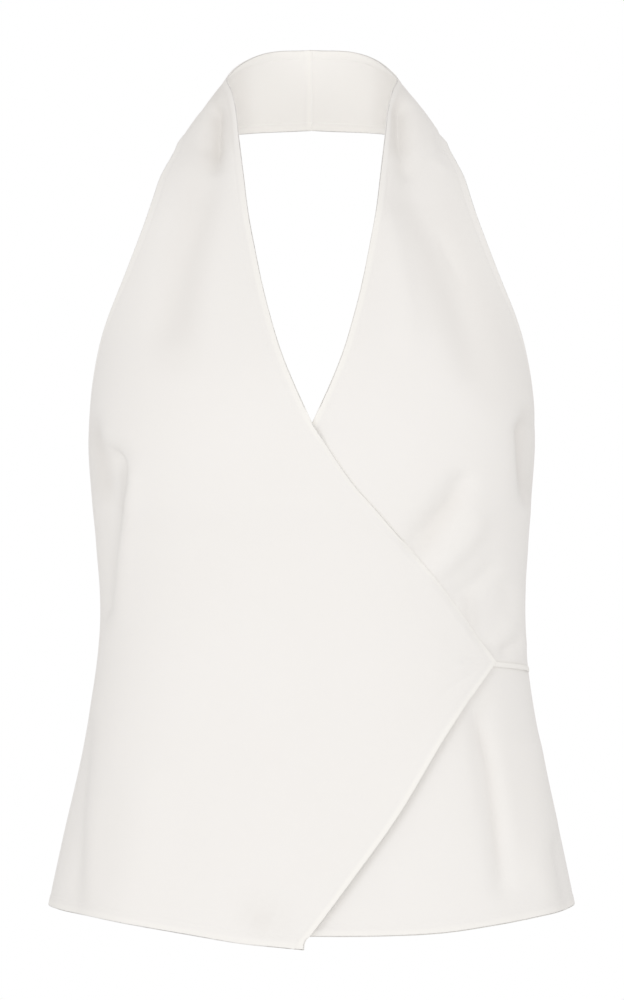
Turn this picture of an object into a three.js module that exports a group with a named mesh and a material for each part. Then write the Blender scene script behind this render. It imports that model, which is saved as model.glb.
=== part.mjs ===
// A halter neck wrap top in plain cloth, holding the form of a wearer who isn't there.
// Two fronts rise from the side seams, pass round the neck and meet in a seam at the nape.
// The wearer's right front wraps over the left one, and a narrow strap holds its corner at the
// left side. A low back panel joins the fronts at the side seams. The neck, the back above the
// panel, the armholes and the hem are open.
//
// Millimetres. x runs to the wearer's left, y to the back and z up. While the cloth is laid out,
// heights count from the middle of the top; the last lines move the origin to the nape.
import * as THREE from "three";

// The cloth
const WALL = 1.2;
const SEAM_GAP = 0.3;
const LAYER_GAP = 1.8;
const CLOTH_COLOUR = 0xf1efea;

// Heights
const SIDE_SEAM_TOP = 45;
const NECKLINE_POINT = 54.4;
const WAIST_CORNER = -116.6;
const SIDE_HEM = -298;
const FRONT_CORNER_HEM = -316.5;
const UNDER_CORNER_HEM = -307;
const BACK_HEM = -305;
const BACK_TOP = 8;
const NAPE_TOP = 340.4;
const NAPE_FOOT = 280;

// The form that the cloth keeps, as level rings: half its width at the side seams, how far it
// reaches to the front and the back, and how square the ring is (2 is an ellipse).
const FORM = [
  { height: -320, halfWidth: 197.7, front: 131, back: 122, square: 2.6 },
  { height: -252, halfWidth: 183.3, front: 124, back: 110, square: 2.6 },
  { height: -178, halfWidth: 167, front: 117, back: 98, square: 2.55 },
  { height: -95, halfWidth: 155.7, front: 112, back: 90, square: 2.45 },
  { height: -30, halfWidth: 158.3, front: 116, back: 89, square: 2.4 },
  { height: 0, halfWidth: 160.9, front: 121, back: 91, square: 2.5 },
  { height: 45, halfWidth: 163.6, front: 123, back: 94, square: 2.6 },
  { height: 100, halfWidth: 159.5, front: 116, back: 96, square: 2.5 },
  { height: 160, halfWidth: 153.5, front: 97, back: 92, square: 2.25 },
  { height: 203, halfWidth: 142.5, front: 79, back: 84, square: 2.15 },
  { height: 233, halfWidth: 125.5, front: 64, back: 77, square: 2.1 },
  { height: 262, halfWidth: 100, front: 50, back: 70, square: 2 },
  { height: 290, halfWidth: 79.4, front: 38, back: 64.5, square: 2 },
  { height: 314, halfWidth: 60.4, front: 32, back: 60.5, square: 2 },
  { height: 328, halfWidth: 55.2, front: 50, back: 58.5, square: 2 },
  { height: 345, halfWidth: 55, front: 56, back: 57.5, square: 2 },
];

// Above the point of the neckline each front narrows as it passes round the neck. A row is one
// section of it: where its armhole edge and its neckline edge lie, across, to the back and up.
const NECK_SECTIONS = [
  { armAcross: 165, armBack: 0, armUp: SIDE_SEAM_TOP, neckAcross: 0, neckBack: -122, neckUp: NECKLINE_POINT },
  { armAcross: 162, armBack: -22, armUp: 77, neckAcross: 19, neckBack: -113, neckUp: 99 },
  { armAcross: 153.6, armBack: -42, armUp: 116.5, neckAcross: 31.5, neckBack: -99, neckUp: 142.5 },
  { armAcross: 137.5, armBack: -52, armUp: 159.5, neckAcross: 40.5, neckBack: -81, neckUp: 186.5 },
  { armAcross: 121.5, armBack: -46, armUp: 203.5, neckAcross: 47.5, neckBack: -59, neckUp: 231.5 },
  { armAcross: 111, armBack: -31, armUp: 233.5, neckAcross: 52.5, neckBack: -41, neckUp: 264.5 },
  { armAcross: 102, armBack: -14, armUp: 257.5, neckAcross: 57.5, neckBack: -25, neckUp: 293.5 },
  { armAcross: 93, armBack: 10, armUp: 268.5, neckAcross: 59.5, neckBack: -6, neckUp: 310 },
  { armAcross: 72, armBack: 40, armUp: 273, neckAcross: 51, neckBack: 28, neckUp: 328 },
  { armAcross: 40, armBack: 60, armUp: 277.5, neckAcross: 30, neckBack: 51, neckUp: 338 },
  { armAcross: 0, armBack: 66, armUp: NAPE_FOOT, neckAcross: 0, neckBack: 58, neckUp: NAPE_TOP },
];

// The free edge of the over front: from the hem up to its waist corner, and on from that corner
// to the point of the neckline. Across is towards the wearer's left.
const OVER_SKIRT_EDGE = [
  { across: -5.6, up: FRONT_CORNER_HEM },
  { across: -4.2, up: -310 },
  { across: 1.5, up: -303 },
  { across: 29, up: -266.5 },
  { across: 61, up: -222 },
  { across: 95.5, up: -164.5 },
  { across: 129.6, up: WAIST_CORNER },
];
const OVER_WRAP_EDGE = [
  { across: 129.6, up: WAIST_CORNER },
  { across: 106, up: -81 },
  { across: 88, up: -57 },
  { across: 48, up: -10 },
  { across: 27, up: 14 },
  { across: 0, up: NECKLINE_POINT },
];

// The under front has the same wrap edge the other way round, and its hidden skirt edge goes
// further across.
const UNDER_SKIRT_EDGE = [
  { across: 62, up: UNDER_CORNER_HEM },
  { across: 92, up: -230 },
  { across: 129.6, up: WAIST_CORNER },
];

// How far each front's hem has fallen, from 0 at the side seam to 1 at its corner, at a share
// of the way round from the one to the other
const HEM_FALL = [
  { share: 0, over: 0, under: 0 },
  { share: 0.16, over: -0.09, under: -0.13 },
  { share: 0.24, over: -0.08, under: 0 },
  { share: 0.34, over: -0.04, under: 0.4 },
  { share: 0.46, over: 0.15, under: 0.87 },
  { share: 0.61, over: 0.43, under: 1.03 },
  { share: 0.8, over: 0.79, under: 1.02 },
  { share: 1, over: 1, under: 1 },
];

// The folds of the fronts, as seen from in front: a soft trough (below 0) or ridge (above 0)
// along the line from one end to the other. Width is to where it has sunk to a third.
const FRONT_FOLDS = [
  // drag lines from the neck down each front
  { fromAcross: -70, fromUp: 284, toAcross: -71, toUp: 245, width: 7, height: -3.5 },
  { fromAcross: -73, fromUp: 250, toAcross: -104, toUp: 125, width: 16, height: -3 },
  { fromAcross: 65, fromUp: 286, toAcross: 69, toUp: 240, width: 7, height: -3.5 },
  { fromAcross: 70, fromUp: 245, toAcross: 116, toUp: 100, width: 16, height: -3.5 },
  { fromAcross: 52, fromUp: 200, toAcross: 66, toUp: 120, width: 12, height: 2 },
  // hollows at the sides under the bust
  { fromAcross: -142, fromUp: 28, toAcross: -151, toUp: -76, width: 11, height: -8 },
  { fromAcross: -128, fromUp: 12, toAcross: -141, toUp: -80, width: 9, height: 2.5 },
  { fromAcross: 154, fromUp: 50, toAcross: 158, toUp: 4, width: 9, height: -6 },
  // pulls towards the strap on the wearer's left
  { fromAcross: 106, fromUp: 12, toAcross: 74, toUp: -28, width: 9, height: -4.5 },
  { fromAcross: 116, fromUp: -16, toAcross: 85, toUp: -49, width: 9, height: 3 },
  { fromAcross: 146, fromUp: -70, toAcross: 150, toUp: -104, width: 11, height: 3 },
  // falls in the skirt
  { fromAcross: 117, fromUp: -150, toAcross: 136, toUp: -272, width: 9, height: -4 },
  { fromAcross: 160, fromUp: -185, toAcross: 168, toUp: -305, width: 13, height: 3 },
  { fromAcross: 178, fromUp: -250, toAcross: 190, toUp: -305, width: 8, height: -3 },
  { fromAcross: -168, fromUp: -170, toAcross: -172, toUp: -300, width: 12, height: -4.5 },
  { fromAcross: -120, fromUp: -210, toAcross: -132, toUp: -305, width: 20, height: 2.5 },
  { fromAcross: -34, fromUp: -284, toAcross: -28, toUp: -298, width: 17, height: -4 },
];

// The falls of the back panel, seen from in front too.
const BACK_FOLDS = [
  { fromAcross: -92, fromUp: -60, toAcross: -104, toUp: -305, width: 13, height: -6 },
  { fromAcross: -48, fromUp: -110, toAcross: -52, toUp: -305, width: 16, height: 4 },
  { fromAcross: 6, fromUp: -40, toAcross: 2, toUp: -305, width: 17, height: -4.5 },
  { fromAcross: 54, fromUp: -120, toAcross: 60, toUp: -305, width: 15, height: 4 },
  { fromAcross: 100, fromUp: -70, toAcross: 112, toUp: -305, width: 12, height: -6 },
];

// Folds die out over this distance before a side seam, and do so up to this far above its top.
const SEAM_CALM = 45;
const ABOVE_SEAM = 40;

// The strap from the waist corner to the side seam on the wearer's left
const STRAP_WIDTH = 5;
const STRAP_THICKNESS = 1.4;
const STRAP_LIFT = 0.9;
const STRAP_START = { across: 130, up: -117.5 };
const STRAP_END = { turn: 89.5, up: -126.5 };

// How far the over front's skirt edge stands off the under front, how wide that roll is, and how
// far below the waist corner it is there in full
const EDGE_LIFT = 1.5;
const EDGE_ROLL = 16;
const EDGE_RUN = 60;

// The over front leaves the form at the first of these turns, in degrees, and clears the under
// front in full at the second. Above the neckline's point it comes back over this height.
const LEAVES_FORM = 84;
const CLEARS_UNDER = 58;
const COMES_BACK = 90;

// The higher this is, the longer the back panel's edges stay level beside the side seams.
const BACK_ROUND = 1.5;

// How fine the cloth is divided. The columns of a front crowd towards its side seam.
const COLUMNS = 32;
const CROWDING = 1.25;
const SKIRT_ROWS = 15;
const WRAP_ROWS = 12;
const NECK_ROWS = 22;
const BACK_ROWS = 16;
const BACK_COLUMNS = 32;
const STRAP_STEPS = 10;

const degrees = THREE.MathUtils.degToRad;
const { clamp, lerp, smoothstep } = THREE.MathUtils;

// The value of one column of a table, on a smooth curve through its rows, where the column named
// by `along`, which rises from row to row, has the value `at`
function onCurve(rows, along, column, at) {
  const last = rows.length - 1;
  let i = 0;
  while (i < last - 1 && at > rows[i + 1][along]) i++;
  const slope = (a, b) => (rows[b][column] - rows[a][column]) / (rows[b][along] - rows[a][along]);
  const span = rows[i + 1][along] - rows[i][along];
  const t = clamp((at - rows[i][along]) / span, 0, 1);
  const startSlope = slope(Math.max(i - 1, 0), i + 1) * span;
  const endSlope = slope(i, Math.min(i + 2, last)) * span;
  const [start, end] = [rows[i][column], rows[i + 1][column]];
  return (
    (2 * t ** 3 - 3 * t ** 2 + 1) * start +
    (t ** 3 - 2 * t ** 2 + t) * startSlope +
    (3 * t ** 2 - 2 * t ** 3) * end +
    (t ** 3 - t ** 2) * endSlope
  );
}

const numbered = (rows) => rows.map((row, place) => ({ ...row, place }));

// Steps from 0 to 1, the last one included
const steps = (count) => Array.from({ length: count + 1 }, (_, i) => i / count);

// Half the seam gap as a turn, at the side seam of a height or at the nape
const halfGap = (radius) => SEAM_GAP / 2 / radius;

// One size of the form's ring at a height
const formSize = (column, height) => onCurve(FORM, "height", column, height);

// The point of the bare form in the direction `turn` (from the centre front, positive to the
// wearer's left, in radians) at a height.
function formPoint(turn, height) {
  const power = formSize("square", height);
  const sideways = Math.abs(Math.sin(turn)) / formSize("halfWidth", height);
  const depthways = Math.abs(Math.cos(turn)) / formSize(Math.cos(turn) > 0 ? "front" : "back", height);
  const reach = (sideways ** power + depthways ** power) ** (-1 / power);
  return new THREE.Vector3(reach * Math.sin(turn), -reach * Math.cos(turn), height);
}

// The form's outward direction there, from points a small turn and a small height to each side
function formNormal(turn, height) {
  const [aside, above] = [1e-3, 1];
  const round = formPoint(turn + aside, height).sub(formPoint(turn - aside, height));
  const rise = formPoint(turn, height + above).sub(formPoint(turn, height - above));
  return round.cross(rise).normalize();
}

// The turn at which the front of the form lies a given distance across
function turnAcross(across, height) {
  const power = formSize("square", height);
  const share = clamp(Math.abs(across) / formSize("halfWidth", height), 0, 1);
  return Math.atan2(across, formSize("front", height) * (1 - share ** power) ** (1 / power));
}

// How much a table of folds moves a point out from the form
function foldHeight(folds, point) {
  const aboveSeam = smoothstep(point.z, SIDE_SEAM_TOP, SIDE_SEAM_TOP + ABOVE_SEAM);
  const calm = lerp(smoothstep(Math.abs(point.y), 0, SEAM_CALM), 1, aboveSeam);
  let sum = 0;
  for (const fold of folds) {
    const [alongX, alongZ] = [fold.toAcross - fold.fromAcross, fold.toUp - fold.fromUp];
    const length = Math.hypot(alongX, alongZ);
    const [x, z] = [point.x - fold.fromAcross, point.z - fold.fromUp];
    const share = (x * alongX + z * alongZ) / length ** 2;
    const past = Math.max(0, -share, share - 1) * length;
    const aside = (x * alongZ - z * alongX) / length;
    sum += fold.height * Math.exp(-(aside ** 2 + past ** 2) / fold.width ** 2);
  }
  return sum * calm;
}

// A point of the cloth's inner face, and the direction out of it. Offset moves it out further.
function clothPoint(turn, height, folds, offset) {
  const point = formPoint(turn, height);
  const out = formNormal(turn, height);
  const moved = foldHeight(folds, point) + offset;
  return { point: point.addScaledVector(out, moved), out };
}

// Makes a closed wall from a grid of inner points and their outward directions. The rows run
// so that rows x columns points outwards when it is seen from outside with row 0 lowest.
function wallGeometry(grid, thickness) {
  const rows = grid.length;
  const columns = grid[0].length;
  const positions = [];
  for (const layer of [0, thickness]) {
    for (const row of grid) {
      for (const { point, out } of row) {
        positions.push(...point.clone().addScaledVector(out, layer).toArray());
      }
    }
  }
  const inner = (r, c) => r * columns + c;
  const outer = (r, c) => rows * columns + inner(r, c);
  const indices = [];
  const quad = (a, b, c, d) => indices.push(a, b, c, a, c, d);
  for (let r = 0; r < rows - 1; r++) {
    for (let c = 0; c < columns - 1; c++) {
      quad(outer(r, c), outer(r, c + 1), outer(r + 1, c + 1), outer(r + 1, c));
      quad(inner(r, c), inner(r + 1, c), inner(r + 1, c + 1), inner(r, c + 1));
    }
  }
  for (let c = 0; c < columns - 1; c++) {
    quad(inner(0, c), inner(0, c + 1), outer(0, c + 1), outer(0, c));
    quad(inner(rows - 1, c + 1), inner(rows - 1, c), outer(rows - 1, c), outer(rows - 1, c + 1));
  }
  for (let r = 0; r < rows - 1; r++) {
    quad(inner(r + 1, 0), inner(r, 0), outer(r, 0), outer(r + 1, 0));
    quad(inner(r, columns - 1), inner(r + 1, columns - 1), outer(r + 1, columns - 1), outer(r, columns - 1));
  }
  const geometry = new THREE.BufferGeometry();
  geometry.setAttribute("position", new THREE.Float32BufferAttribute(positions, 3));
  geometry.setIndex(indices);
  geometry.computeVertexNormals();
  return geometry;
}

// The height on the side seam that is level with a height on a front's free edge
function sideHeight(edgeUp, cornerHem) {
  return edgeUp < 0 ? (edgeUp * SIDE_HEM) / cornerHem : (edgeUp * SIDE_SEAM_TOP) / NECKLINE_POINT;
}

// The sections of one front, hem first: the turn and height of each at the outer edge, which is
// the side seam and then the armhole, and at the inner edge, which goes past the centre front to
// turns below 0. inHem is 1 at the hem and 0 from the waist corner up.
function frontSections(skirtEdge, wrapEdge, cornerHem) {
  const sections = [];
  const addBody = (edge, count, skip) => {
    for (const share of steps(count).slice(skip)) {
      const place = share * (edge.length - 1);
      const up = onCurve(numbered(edge), "place", "up", place);
      const across = onCurve(numbered(edge), "place", "across", place);
      const side = sideHeight(up, cornerHem);
      sections.push({
        outerTurn: Math.PI / 2 - halfGap(formSize("halfWidth", side)),
        outerUp: side,
        innerTurn: -turnAcross(across, up),
        innerUp: up,
        inHem: clamp((up - WAIST_CORNER) / (cornerHem - WAIST_CORNER), 0, 1),
      });
    }
  };
  addBody(skirtEdge, SKIRT_ROWS, 0);
  addBody(wrapEdge, WRAP_ROWS, 1);
  const table = numbered(NECK_SECTIONS).map((row) => ({
    ...row,
    armTurn: Math.atan2(row.armAcross, -row.armBack),
    neckTurn: Math.atan2(row.neckAcross, -row.neckBack),
  }));
  for (const share of steps(NECK_ROWS).slice(1)) {
    const place = share * (table.length - 1);
    const at = (column) => onCurve(table, "place", column, place);
    sections.push({
      outerTurn: Math.min(at("armTurn"), Math.PI - halfGap(at("armBack"))),
      outerUp: at("armUp"),
      innerTurn: Math.min(at("neckTurn"), Math.PI - halfGap(at("neckBack"))),
      innerUp: at("neckUp"),
      inHem: 0,
    });
  }
  return sections;
}

// How far a front lies outside the form: the over front clears the under front, and comes back
// to the form at its own side seam and above the neckline's point.
function layerOffset(turn, height, isOver) {
  if (!isOver) return 0;
  const fromSeam = 1 - smoothstep(turn, degrees(CLEARS_UNDER), degrees(LEAVES_FORM));
  const belowNeck = 1 - smoothstep(height, NECKLINE_POINT, NECKLINE_POINT + COMES_BACK);
  return (WALL + LAYER_GAP) * fromSeam * belowNeck;
}

// One front. Its sections are laid out for the wearer's left and mirrored for the right.
function frontGeometry({ isOver, skirtEdge, wrapEdge, cornerHem }) {
  const mirror = isOver ? -1 : 1;
  const grid = frontSections(skirtEdge, wrapEdge, cornerHem).map((section) =>
    steps(COLUMNS).map((step) => {
      const share = step ** CROWDING;
      const turn = lerp(section.outerTurn, section.innerTurn, share);
      const hemFall = onCurve(HEM_FALL, "share", isOver ? "over" : "under", share);
      const height = lerp(section.outerUp, section.innerUp, lerp(share, hemFall, section.inHem));
      const toEdge = (turn - section.innerTurn) * formSize("halfWidth", height);
      const roll = isOver ? EDGE_LIFT * Math.exp(-((toEdge / EDGE_ROLL) ** 2)) : 0;
      const inSkirt = smoothstep(-height, -WAIST_CORNER, -WAIST_CORNER + EDGE_RUN);
      const offset = layerOffset(turn, height, isOver) + roll * inSkirt;
      return clothPoint(mirror * turn, height, FRONT_FOLDS, offset);
    }),
  );
  // Columns run from the side to the middle, which is backwards on the wearer's left.
  if (!isOver) grid.forEach((row) => row.reverse());
  return wallGeometry(grid, WALL);
}

// The low back, from side seam to side seam
function backGeometry() {
  const grid = steps(BACK_ROWS).map((rise) =>
    steps(BACK_COLUMNS).map((share) => {
      const round = Math.sin(Math.PI * share) ** BACK_ROUND;
      const hem = lerp(SIDE_HEM, BACK_HEM, round);
      const top = lerp(SIDE_SEAM_TOP, BACK_TOP, round);
      const height = lerp(hem, top, rise);
      const gap = halfGap(formSize("halfWidth", height));
      const turn = lerp(Math.PI / 2 + gap, (3 * Math.PI) / 2 - gap, share);
      return clothPoint(turn, height, BACK_FOLDS, 0);
    }),
  );
  return wallGeometry(grid, WALL);
}

// The strap, lying on the under front from the waist corner to the side seam
function strapGeometry() {
  const start = turnAcross(STRAP_START.across, STRAP_START.up);
  const grid = [-STRAP_WIDTH / 2, STRAP_WIDTH / 2].map((above) =>
    steps(STRAP_STEPS).map((share) => {
      const turn = lerp(start, degrees(STRAP_END.turn), share);
      const height = lerp(STRAP_START.up, STRAP_END.up, share) + above;
      return clothPoint(turn, height, FRONT_FOLDS, WALL + STRAP_LIFT);
    }),
  );
  return wallGeometry(grid, STRAP_THICKNESS);
}

const clothMaterial = () =>
  new THREE.MeshStandardMaterial({ color: CLOTH_COLOUR, roughness: 0.85, metalness: 0 });

function piece(name, geometry) {
  const mesh = new THREE.Mesh(geometry, clothMaterial());
  mesh.name = name;
  return mesh;
}

const top = new THREE.Group();
top.add(
  piece(
    "front_over",
    frontGeometry({
      isOver: true,
      skirtEdge: OVER_SKIRT_EDGE,
      wrapEdge: OVER_WRAP_EDGE,
      cornerHem: FRONT_CORNER_HEM,
    }),
  ),
  piece(
    "front_under",
    frontGeometry({
      isOver: false,
      skirtEdge: UNDER_SKIRT_EDGE,
      wrapEdge: OVER_WRAP_EDGE,
      cornerHem: UNDER_CORNER_HEM,
    }),
  ),
  piece("back_panel", backGeometry()),
  piece("waist_strap", strapGeometry()),
);

// The origin is at the nape, on the inside of the neckband's seam, halfway up it.
const NAPE_HEIGHT = (NAPE_TOP + NAPE_FOOT) / 2;
top.position.set(0, -formPoint(Math.PI, NAPE_HEIGHT).y, -NAPE_HEIGHT);

const root = new THREE.Group();
root.add(top);
export default root;
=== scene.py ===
"""A halter neck wrap top in fine off-white cloth, dressed around its solids.

The cloth is laid out as its pattern is, in millimetres: x runs to the wearer's left, y to the
back and z up, with heights from the middle of the top. placed() moves it to the row's frame, which
is in metres with its origin at the nape.
"""

import math

import bpy
import numpy as np
from bpy.props import FloatProperty, FloatVectorProperty, PointerProperty
from bpy.types import Operator, Panel, PropertyGroup
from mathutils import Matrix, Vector


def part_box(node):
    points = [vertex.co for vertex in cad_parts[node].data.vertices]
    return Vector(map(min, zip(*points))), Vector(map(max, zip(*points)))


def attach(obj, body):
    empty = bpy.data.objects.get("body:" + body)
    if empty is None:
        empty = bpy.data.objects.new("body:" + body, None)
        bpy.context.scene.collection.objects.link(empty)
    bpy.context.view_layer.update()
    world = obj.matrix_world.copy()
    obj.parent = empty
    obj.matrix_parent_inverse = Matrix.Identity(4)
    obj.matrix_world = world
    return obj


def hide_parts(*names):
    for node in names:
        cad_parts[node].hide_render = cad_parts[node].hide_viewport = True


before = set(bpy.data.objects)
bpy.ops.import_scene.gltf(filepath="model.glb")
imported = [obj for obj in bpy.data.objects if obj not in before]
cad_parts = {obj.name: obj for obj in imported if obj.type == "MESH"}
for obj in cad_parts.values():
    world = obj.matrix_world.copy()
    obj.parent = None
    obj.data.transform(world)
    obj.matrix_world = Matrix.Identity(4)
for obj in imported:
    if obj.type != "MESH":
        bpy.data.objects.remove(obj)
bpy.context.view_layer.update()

bl_info = {
    "name": "Halter neck wrap top",
    "version": (1, 0, 0),
    "blender": (4, 5, 0),
    "location": "3D View > Sidebar > Top",
    "description": "Builds a halter neck wrap top in fine cloth and the stage it is shown on",
    "category": "Add Mesh",
}

MM = 0.001
BODY = "root"

# The solids' wall, whose outer face the cloth's outer face follows
WALL = 1.2
LAYER_GAP = 1.8

# Sewn edges are drawn together, with next to nothing between them
SEAM_GAP = 0.04

# Heights
SIDE_SEAM_TOP = 45
NECKLINE_POINT = 54.4
WAIST_CORNER = -116.6
SIDE_HEM = -298
OVER_CORNER_HEM = -316.5
UNDER_CORNER_HEM = -307
BACK_HEM = -305
BACK_TOP = 8
NAPE_TOP = 340.4
NAPE_FOOT = 280
NAPE_HEIGHT = (NAPE_TOP + NAPE_FOOT) / 2

# The form that the cloth keeps, as level rings: half its width at the side seams, how far it
# reaches to the front and the back, and how square the ring is (2 is an ellipse)
FORM = (
    dict(height=-320, half_width=197.7, front=131, back=122, square=2.6),
    dict(height=-252, half_width=183.3, front=124, back=110, square=2.6),
    dict(height=-178, half_width=167, front=117, back=98, square=2.55),
    dict(height=-95, half_width=155.7, front=112, back=90, square=2.45),
    dict(height=-30, half_width=158.3, front=116, back=89, square=2.4),
    dict(height=0, half_width=160.9, front=121, back=91, square=2.5),
    dict(height=45, half_width=163.6, front=123, back=94, square=2.6),
    dict(height=100, half_width=159.5, front=116, back=96, square=2.5),
    dict(height=160, half_width=153.5, front=97, back=92, square=2.25),
    dict(height=203, half_width=142.5, front=79, back=84, square=2.15),
    dict(height=233, half_width=125.5, front=64, back=77, square=2.1),
    dict(height=262, half_width=100, front=50, back=70, square=2),
    dict(height=290, half_width=79.4, front=38, back=64.5, square=2),
    dict(height=314, half_width=60.4, front=32, back=60.5, square=2),
    dict(height=328, half_width=55.2, front=50, back=58.5, square=2),
    dict(height=345, half_width=55, front=56, back=57.5, square=2),
)

# Each front as it passes round the neck: where a section's armhole edge and neckline edge lie
NECK_SECTIONS = (
    dict(arm_across=165, arm_back=0, arm_up=45, neck_across=0, neck_back=-122, neck_up=54.4),
    dict(arm_across=162, arm_back=-22, arm_up=77, neck_across=19, neck_back=-113, neck_up=99),
    dict(arm_across=153.6, arm_back=-42, arm_up=116.5, neck_across=31.5, neck_back=-99, neck_up=142.5),
    dict(arm_across=137.5, arm_back=-52, arm_up=159.5, neck_across=40.5, neck_back=-81, neck_up=186.5),
    dict(arm_across=121.5, arm_back=-46, arm_up=203.5, neck_across=47.5, neck_back=-59, neck_up=231.5),
    dict(arm_across=111, arm_back=-31, arm_up=233.5, neck_across=52.5, neck_back=-41, neck_up=264.5),
    dict(arm_across=102, arm_back=-14, arm_up=257.5, neck_across=57.5, neck_back=-25, neck_up=293.5),
    dict(arm_across=93, arm_back=10, arm_up=268.5, neck_across=59.5, neck_back=-6, neck_up=310),
    dict(arm_across=72, arm_back=40, arm_up=273, neck_across=51, neck_back=28, neck_up=328),
    dict(arm_across=40, arm_back=60, arm_up=277.5, neck_across=30, neck_back=51, neck_up=338),
    dict(arm_across=0, arm_back=66, arm_up=NAPE_FOOT, neck_across=0, neck_back=58, neck_up=NAPE_TOP),
)

# The free edges of the fronts: from the hem up to the waist corner, and on to the neckline's point
OVER_SKIRT_EDGE = (
    dict(across=-5.6, up=OVER_CORNER_HEM),
    dict(across=-4.2, up=-310),
    dict(across=1.5, up=-303),
    dict(across=29, up=-266.5),
    dict(across=61, up=-222),
    dict(across=95.5, up=-164.5),
    dict(across=129.6, up=WAIST_CORNER),
)
UNDER_SKIRT_EDGE = (
    dict(across=62, up=UNDER_CORNER_HEM),
    dict(across=92, up=-230),
    dict(across=129.6, up=WAIST_CORNER),
)
WRAP_EDGE = (
    dict(across=129.6, up=WAIST_CORNER),
    dict(across=106, up=-81),
    dict(across=88, up=-57),
    dict(across=48, up=-10),
    dict(across=27, up=14),
    dict(across=0, up=NECKLINE_POINT),
)

# How far each front's hem has fallen, from 0 at the side seam to 1 at its corner
HEM_FALL = (
    dict(share=0, over=0, under=0),
    dict(share=0.16, over=-0.09, under=-0.13),
    dict(share=0.24, over=-0.08, under=0),
    dict(share=0.34, over=-0.04, under=0.4),
    dict(share=0.46, over=0.15, under=0.87),
    dict(share=0.61, over=0.43, under=1.03),
    dict(share=0.8, over=0.79, under=1.02),
    dict(share=1, over=1, under=1),
)

# The main folds, as the solids have them: soft troughs (height below 0) and ridges along a line,
# seen from in front. Width is to where the fold has sunk to a third.
FRONT_FOLDS = (
    dict(path=((-70, 284), (-71, 245)), width=7, height=-3.5),
    dict(path=((-73, 250), (-104, 125)), width=16, height=-3),
    dict(path=((65, 286), (69, 240)), width=7, height=-3.5),
    dict(path=((70, 245), (116, 100)), width=16, height=-3.5),
    dict(path=((52, 200), (66, 120)), width=12, height=2),
    dict(path=((-142, 28), (-151, -76)), width=11, height=-8),
    dict(path=((-128, 12), (-141, -80)), width=9, height=2.5),
    dict(path=((154, 50), (158, 4)), width=9, height=-6),
    dict(path=((106, 12), (74, -28)), width=9, height=-4.5),
    dict(path=((116, -16), (85, -49)), width=9, height=3),
    dict(path=((146, -70), (150, -104)), width=11, height=3),
    dict(path=((117, -150), (136, -272)), width=9, height=-4),
    dict(path=((160, -185), (168, -305)), width=13, height=3),
    dict(path=((178, -250), (190, -305)), width=8, height=-3),
    dict(path=((-168, -170), (-172, -300)), width=12, height=-4.5),
    dict(path=((-120, -210), (-132, -305)), width=20, height=2.5),
    dict(path=((-34, -284), (-28, -298)), width=17, height=-4),
)
BACK_FOLDS = (
    dict(path=((-92, -60), (-104, -305)), width=13, height=-6),
    dict(path=((-48, -110), (-52, -305)), width=16, height=4),
    dict(path=((6, -40), (2, -305)), width=17, height=-4.5),
    dict(path=((54, -120), (60, -305)), width=15, height=4),
    dict(path=((100, -70), (112, -305)), width=12, height=-6),
)

# Finer creases, which taper off at both ends
FRONT_CREASES = (
    dict(path=((-71, 294), (-71, 246)), width=8, height=-3.4),
    dict(path=((-71, 298), (-70.5, 240)), width=4.5, height=-1.4),
    dict(path=((-78, 278), (-80, 250)), width=3, height=-0.9),
    dict(path=((-66, 262), (-77, 217), (-93, 172), (-100, 112)), width=11, height=-1.6),
    dict(path=((-88, 262), (-112, 190)), width=12, height=1.2),
    dict(path=((66, 296), (65, 250)), width=8, height=-3.4),
    dict(path=((66, 300), (64, 250)), width=4.5, height=-1.4),
    dict(path=((67, 250), (72, 221), (80, 202), (97, 172), (108, 140), (116, 100)), width=10, height=-1.6),
    dict(path=((49, 228), (56, 202), (63, 165), (74, 118)), width=7.5, height=1.2),
    dict(path=((91, 196), (111, 152)), width=4, height=-1.1),
    dict(path=((84, 250), (100, 239)), width=3, height=0.8),
    dict(path=((90, 273), (96, 252)), width=4, height=-1.5),
    dict(path=((110, 9), (93, -13), (73, -38)), width=6.5, height=-3),
    dict(path=((124, -18), (106, -36), (85, -57)), width=7.5, height=2.2),
    dict(path=((136, -42), (116, -60), (95, -72)), width=7, height=-2.8),
    dict(path=((111, -66), (111, -90)), width=2.6, height=-0.8),
    dict(path=((146, -88), (126, -107)), width=6, height=2),
    dict(path=((150, -100), (133, -113)), width=4.5, height=-2.4),
    dict(path=((139, -54), (140, -84)), width=6, height=-1.3),
    dict(path=((116, -146), (126.5, -184), (132, -228), (135, -270)), width=4.2, height=-2.6),
    dict(path=((133, -176), (143, -258)), width=10, height=1.2),
    dict(path=((172, -246), (188, -295)), width=5, height=-0.8),
    dict(path=((155, -252), (171, -290)), width=6, height=0.8),
    dict(path=((-167, -170), (-170, -238), (-169, -296)), width=7, height=-2),
    dict(path=((-155, -200), (-158, -290)), width=8, height=1),
    dict(path=((-46, -284), (-14, -297)), width=9, height=-1.6),
    dict(path=((-157, 70), (-155, 48), (-152.5, 22), (-151, -8)), width=5.5, height=-2.6),
    dict(path=((152, 74), (154, 54), (155, 36), (156.5, 18), (158, 0)), width=5.5, height=-2.6),
)

# Where the wrap is caught at the waist corner, only in the front that lies on top
OVER_PUCKERS = (
    dict(path=((98, -115), (123, -115)), width=1.9, height=-0.8),
    dict(path=((86, -141), (118, -121)), width=2.4, height=-0.7),
    dict(path=((88, -96), (120, -111)), width=2.6, height=-0.6),
    dict(path=((80, -124), (112, -118)), width=2.8, height=0.6),
    dict(path=((96, -100), (122, -113)), width=2.4, height=0.5),
)

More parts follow.
